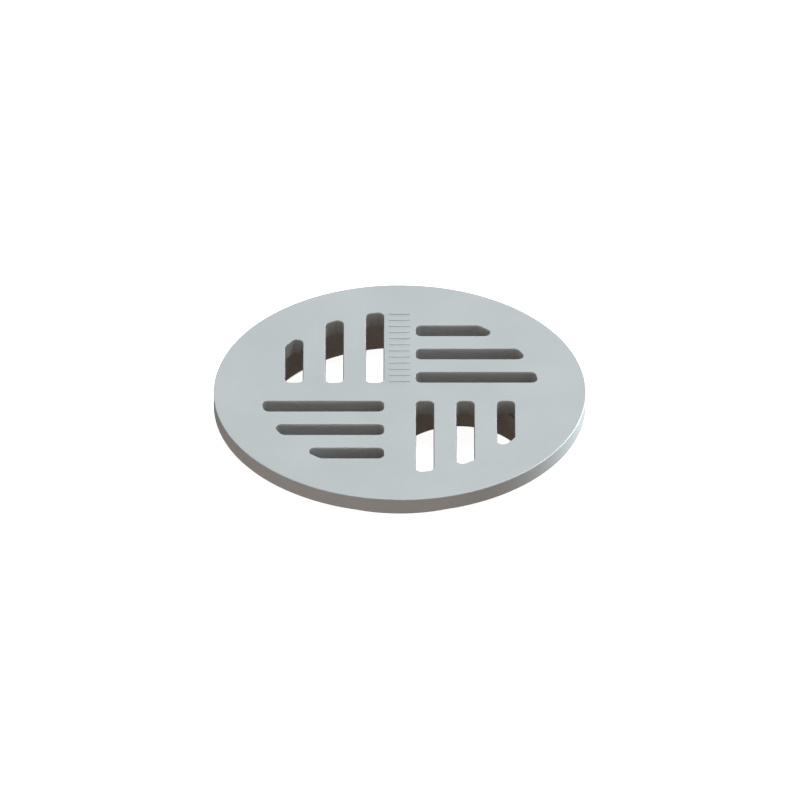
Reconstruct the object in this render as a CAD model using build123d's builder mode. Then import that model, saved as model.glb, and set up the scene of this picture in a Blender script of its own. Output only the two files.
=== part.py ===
from build123d import *

import os

# A round plastic grate for a floor drain. The slotted plate lies in the drain's frame, the collar under it
# centres it in the drain body, and an arched wall inside the collar guides the insert below. Sizes are in
# millimetres. The origin is on the grate's axis at the collar's bottom edge, with +Z up.

plate_radius = 70.0
plate_thickness = 6.0
rim_rounding = 0.25
slot_edge_rounding = 0.1

wall_thickness = 1.75
wall_depth = 11.4
collar_radius = 55.0
collar_lead_in = 0.45
arch_radius = 24.3
arch_offset = 22.3

land_half_width = 5.9
slot_width = 7.0
slot_pitch = 15.2
slots_in_a_quadrant = 3
slot_field_radius = 52.45
slot_corner_radius = 2.4
slot_draft_angle = 2.4

grip_bar_length = 8.4
grip_bar_width = 1.4
grip_bar_height = 0.2
grip_bar_pitch = 4.0
grip_bar_count = 12

collar_bore_radius = collar_radius - wall_thickness
plate_top = wall_depth + plate_thickness
slot_field_middle = (land_half_width + slot_field_radius) / 2

os.makedirs("parts", exist_ok=True)

# The slots of one quadrant run parallel to X and end on one circle round the grate's axis, so the slot nearest
# the middle is the longest. Each corner is rounded.
with BuildSketch() as quadrant_slots:
    for slot in range(slots_in_a_quadrant):
        with Locations((land_half_width, land_half_width + slot * slot_pitch)):
            Rectangle(slot_field_radius, slot_width, align=(Align.MIN, Align.MIN))
    Circle(slot_field_radius, mode=Mode.INTERSECT)
    fillet(quadrant_slots.vertices(), slot_corner_radius)

# The plate is a solid disc. Its four quadrants of slots are turned by 90 degrees from one to the next, which
# leaves a plain cross between them. The slots narrow downwards, which lets the plate draw off the mould. The far
# arm of the cross carries a row of low moulded grip bars.
with BuildPart() as grate_plate:
    with BuildSketch(Plane.XY.offset(wall_depth)):
        Circle(plate_radius)
    extrude(amount=plate_thickness)
    with BuildSketch(Plane.XY.offset(plate_top)):
        with PolarLocations(0, 4):
            add(quadrant_slots.sketch)
    extrude(amount=-plate_thickness, taper=slot_draft_angle, mode=Mode.SUBTRACT)
    fillet(grate_plate.faces().sort_by(Axis.Z)[-1].outer_wire().edges(), rim_rounding)
    fillet(grate_plate.faces().sort_by(Axis.Z)[-1].inner_wires().edges(), slot_edge_rounding)
    fillet(grate_plate.faces().sort_by(Axis.Z)[0].edges(), slot_edge_rounding)
    with BuildSketch(Plane.XY.offset(plate_top)):
        with Locations((0, slot_field_middle)):
            with GridLocations(0, grip_bar_pitch, 1, grip_bar_count):
                SlotOverall(grip_bar_length, grip_bar_width)
    extrude(amount=grip_bar_height)

# The collar is a thin upright ring under the plate, round the whole slot field. Its outer bottom edge is
# chamfered as a lead-in.
with BuildPart() as locating_collar:
    with BuildSketch():
        Circle(collar_radius)
        Circle(collar_bore_radius, mode=Mode.SUBTRACT)
    extrude(amount=wall_depth)
    outer_bottom_edge = locating_collar.edges().group_by(Axis.Z)[0].sort_by(SortBy.RADIUS)[-1]
    chamfer(outer_bottom_edge, collar_lead_in)

# The arched wall stands inside the collar, under one quadrant of slots. Its rear half is round. Its left leg
# runs straight to the front under the plain cross, and its right side reaches the collar where the round half
# ends, so both its ends butt against the collar. It is drawn as a closed loop that reaches past the collar.
with BuildPart() as arched_guide_wall:
    with BuildSketch():
        with Locations((arch_offset, -arch_offset - collar_radius / 2)):
            SlotCenterToCenter(collar_radius, 2 * (arch_radius + wall_thickness), rotation=90)
            SlotCenterToCenter(collar_radius, 2 * arch_radius, rotation=90, mode=Mode.SUBTRACT)
    extrude(amount=wall_depth)
    with BuildSketch():
        Circle(collar_bore_radius)
    extrude(amount=wall_depth, mode=Mode.INTERSECT)

pieces = {
    "grate_plate": grate_plate,
    "locating_collar": locating_collar,
    "arched_guide_wall": arched_guide_wall,
}
for name, piece in pieces.items():
    piece.part.label = name
    export_step(piece.part, f"parts/{name}.step")
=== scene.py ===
from math import radians

import bpy
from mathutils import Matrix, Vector


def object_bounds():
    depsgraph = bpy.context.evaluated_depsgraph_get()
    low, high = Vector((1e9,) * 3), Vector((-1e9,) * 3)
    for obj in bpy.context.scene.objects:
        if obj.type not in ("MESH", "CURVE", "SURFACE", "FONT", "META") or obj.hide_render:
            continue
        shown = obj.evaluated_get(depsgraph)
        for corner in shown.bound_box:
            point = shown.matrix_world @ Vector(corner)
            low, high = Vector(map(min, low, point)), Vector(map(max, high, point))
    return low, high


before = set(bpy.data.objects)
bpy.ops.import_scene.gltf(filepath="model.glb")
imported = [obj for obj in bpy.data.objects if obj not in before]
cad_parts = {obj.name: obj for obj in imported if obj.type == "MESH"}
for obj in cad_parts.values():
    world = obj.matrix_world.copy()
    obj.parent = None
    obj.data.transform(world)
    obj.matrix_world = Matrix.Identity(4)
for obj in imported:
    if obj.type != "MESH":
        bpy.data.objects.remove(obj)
cad_low, cad_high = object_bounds()

# The camera looks down on the grate from the front at the isometric angle. Its very long lens, from far away,
# keeps parallel edges parallel, as on a catalogue drawing.
elevation_angle = radians(35.264)
lens_mm = 1200
framed_width = 0.3007
aim = Vector((0.00007, 0, 0.01355))

camera_data = bpy.data.cameras.new("camera")
camera_data.lens = lens_mm
camera = bpy.data.objects.new("camera", camera_data)
bpy.context.scene.collection.objects.link(camera)
camera_distance = framed_width * lens_mm / camera_data.sensor_width
camera.rotation_euler = (radians(90) - elevation_angle, 0, 0)
camera.location = aim + camera.rotation_euler.to_matrix() @ Vector((0, 0, camera_distance))
bpy.context.scene.camera = camera

# The slotted plate is a solid disc of light grey polypropylene, injection moulded in one shot with the two walls
# under it, so nothing fixes it to them. It lies loose in the drain's frame.
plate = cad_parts["grate_plate"]


def linear(hex_colour):
    """An sRGB hex colour as linear RGBA."""
    channels = [int(hex_colour[i : i + 2], 16) / 255 for i in (1, 3, 5)]
    return [c / 12.92 if c <= 0.04045 else ((c + 0.055) / 1.055) ** 2.4 for c in channels] + [1]


def add_node(tree, kind, settings, links={}):
    """Adds a shader node, sets its sockets and properties, and links outputs of other nodes into it."""
    node = tree.nodes.new("ShaderNode" + kind)
    for name, value in settings.items():
        if name in node.inputs:
            node.inputs[name].default_value = value
        else:
            setattr(node, name, value)
    for name, output in links.items():
        tree.links.new(output, node.inputs[name])
    return node


def start_plastic(name, base_colour, roughness):
    """A new material with the settings that all polypropylene has."""
    material = bpy.data.materials.new(name)
    material.use_nodes = True
    shader = material.node_tree.nodes["Principled BSDF"]
    shader.inputs["Base Color"].default_value = linear(base_colour)
    shader.inputs["Roughness"].default_value = roughness
    shader.inputs["IOR"].default_value = 1.49
    return material, shader


# Polypropylene from a spark-eroded mould: matt, with an even, very fine grain. The grain is drawn about 0.6 mm
# across, coarser than the real one, and the tone clouds over some 25 mm, where the melt cooled unevenly.
plate_plastic, plate_shader = start_plastic("spark_eroded_polypropylene", "#B6BDBF", 0.5)
tree = plate_plastic.node_tree
place = add_node(tree, "TexCoord", {}).outputs["Object"]
grain = add_node(tree, "TexNoise", {"Scale": 1 / 0.0006, "Detail": 3.0}, {"Vector": place})
clouds = add_node(tree, "TexNoise", {"Scale": 1 / 0.025, "Detail": 2.0}, {"Vector": place})
tone = add_node(tree, "ValToRGB", {}, {"Fac": clouds.outputs["Fac"]})
tone.color_ramp.elements[0].position = 0.3
tone.color_ramp.elements[0].color = linear("#B3BABC")
tone.color_ramp.elements[1].position = 0.7
tone.color_ramp.elements[1].color = linear("#B8BFC1")
gloss = add_node(
    tree, "MapRange", {"To Min": 0.46, "To Max": 0.56}, {"Value": clouds.outputs["Fac"]}
)
relief = add_node(
    tree, "Bump", {"Strength": 0.35, "Distance": 0.00003}, {"Height": grain.outputs["Fac"]}
)
tree.links.new(tone.outputs["Color"], plate_shader.inputs["Base Color"])
tree.links.new(gloss.outputs["Result"], plate_shader.inputs["Roughness"])
tree.links.new(relief.outputs["Normal"], plate_shader.inputs["Normal"])
plate.data.materials.clear()
plate.data.materials.append(plate_plastic)

# The collar and the arched guide wall are thin upright walls moulded with the plate. They draw out of deep narrow
# grooves in the mould, which leaves them smoother than the plate, with fine upright drag lines.
wall_plastic, wall_shader = start_plastic("drag_marked_polypropylene", "#B6BDBF", 0.42)
tree = wall_plastic.node_tree
place = add_node(tree, "TexCoord", {}).outputs["Object"]
stretch = add_node(
    tree, "Mapping", {"Scale": (1 / 0.0006, 1 / 0.0006, 1 / 0.02)}, {"Vector": place}
)
drag_lines = add_node(
    tree, "TexNoise", {"Scale": 1.0, "Detail": 2.0}, {"Vector": stretch.outputs["Vector"]}
)
relief = add_node(
    tree, "Bump", {"Strength": 0.3, "Distance": 0.00003}, {"Height": drag_lines.outputs["Fac"]}
)
tree.links.new(relief.outputs["Normal"], wall_shader.inputs["Normal"])
for name in ("locating_collar", "arched_guide_wall"):
    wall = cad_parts[name]
    wall.data.materials.clear()
    wall.data.materials.append(wall_plastic)

# A plain white floor, level with the collar's bottom edge. It glows a little, so that it stays pale under the
# grate, it throws no light back up at it, and it is clear from below, so that the underside can be seen.
floor_size = 40
bpy.ops.mesh.primitive_plane_add(size=floor_size, location=(0, 0, cad_low.z))
floor = bpy.context.object
floor.name = "floor"
floor.visible_diffuse = False
floor.visible_glossy = False
floor.visible_shadow = False
floor_paint = bpy.data.materials.new("white_floor")
floor_paint.use_nodes = True
tree = floor_paint.node_tree
floor_shader = tree.nodes["Principled BSDF"]
floor_shader.inputs["Base Color"].default_value = linear("#FFFFFF")
floor_shader.inputs["Roughness"].default_value = 1
floor_shader.inputs["Emission Color"].default_value = linear("#FFFFFF")
floor_shader.inputs["Emission Strength"].default_value = 0.92
from_below = add_node(tree, "NewGeometry", {}).outputs["Backfacing"]
clear = add_node(tree, "BsdfTransparent", {}).outputs["BSDF"]
two_sided = add_node(tree, "MixShader", {}, {"Fac": from_below})
tree.links.new(floor_shader.outputs["BSDF"], two_sided.inputs[1])
tree.links.new(clear, two_sided.inputs[2])
tree.links.new(two_sided.outputs["Shader"], tree.nodes["Material Output"].inputs["Surface"])
floor.data.materials.append(floor_paint)

# The room glows warm near the horizon, in front of the grate and to its left, and is dim and brown elsewhere, so
# that the depth of the slots stays dark. The camera sees it as plain white.
world = bpy.data.worlds.new("room")
bpy.context.scene.world = world
world.use_nodes = True
tree = world.node_tree
direction = add_node(tree, "TexCoord", {}).outputs["Generated"]
turn_to_left = radians(32)
turned = add_node(tree, "Mapping", {"Rotation": (0, 0, turn_to_left)}, {"Vector": direction})
axes = add_node(tree, "SeparateXYZ", {}, {"Vector": turned.outputs["Vector"]})
room_tone = add_node(tree, "ValToRGB", {}, {"Fac": axes.outputs["Z"]})
below_horizon = (0.155, 0.096, 0.07, 1)
horizon_glow = (3.2, 3.05, 2.94, 1)
room_wall = (0.36, 0.27, 0.23, 1)
bands = room_tone.color_ramp.elements
bands[0].color = below_horizon
bands[1].color = (0.0, 0.0, 0.0, 1)
bands[1].position = 0.7
for position, colour in (
    (0.01, horizon_glow),
    (0.13, horizon_glow),
    (0.16, room_wall),
    (0.6, room_wall),
):
    bands.new(position).color = colour
in_front = add_node(
    tree, "MapRange", {"From Min": 0.4, "From Max": -0.1}, {"Value": axes.outputs["Y"]}
)
front = add_node(tree, "Background", {}, {"Color": room_tone.outputs["Color"]})
rear_brown = (0.11, 0.09, 0.07, 1)
rear = add_node(tree, "Background", {"Color": rear_brown})
room = add_node(tree, "MixShader", {}, {"Fac": in_front.outputs["Result"]})
tree.links.new(rear.outputs["Background"], room.inputs[1])
tree.links.new(front.outputs["Background"], room.inputs[2])
backdrop = add_node(tree, "Background", {"Color": (1, 1, 1, 1)})
seen = add_node(tree, "LightPath", {}).outputs["Is Camera Ray"]
shown = add_node(tree, "MixShader", {}, {"Fac": seen})
tree.links.new(room.outputs["Shader"], shown.inputs[1])
tree.links.new(backdrop.outputs["Background"], shown.inputs[2])
tree.links.new(shown.outputs["Shader"], tree.nodes["World Output"].inputs["Surface"])


def add_softbox(name, azimuth, elevation, width, height, power, colour):
    """An area light aimed at the grate. Azimuth 0 is at the front and 90 at the right, in degrees."""
    distance = 5.0
    light_data = bpy.data.lights.new(name, "AREA")
    light_data.shape = "RECTANGLE"
    light_data.size = width
    light_data.size_y = height
    light_data.energy = power
    light_data.color = colour
    light = bpy.data.objects.new(name, light_data)
    bpy.context.scene.collection.objects.link(light)
    light.visible_camera = False
    light.rotation_euler = (radians(90 - elevation), 0, radians(azimuth))
    light.location = light.rotation_euler.to_matrix() @ Vector((0, 0, distance))


# The key light stands high behind the grate, a little to the right. A long strip light, cooler and nearly level
# with the grate, brightens the right side of its rim.
add_softbox("key_softbox", 140, 63, 3.5, 2.5, 272, (0.955, 1.0, 1.02))
add_softbox("rim_strip", 129, 2, 2.6, 0.6, 500, (0.93, 1.0, 1.04))

bpy.context.scene.view_settings.view_transform = "Standard"
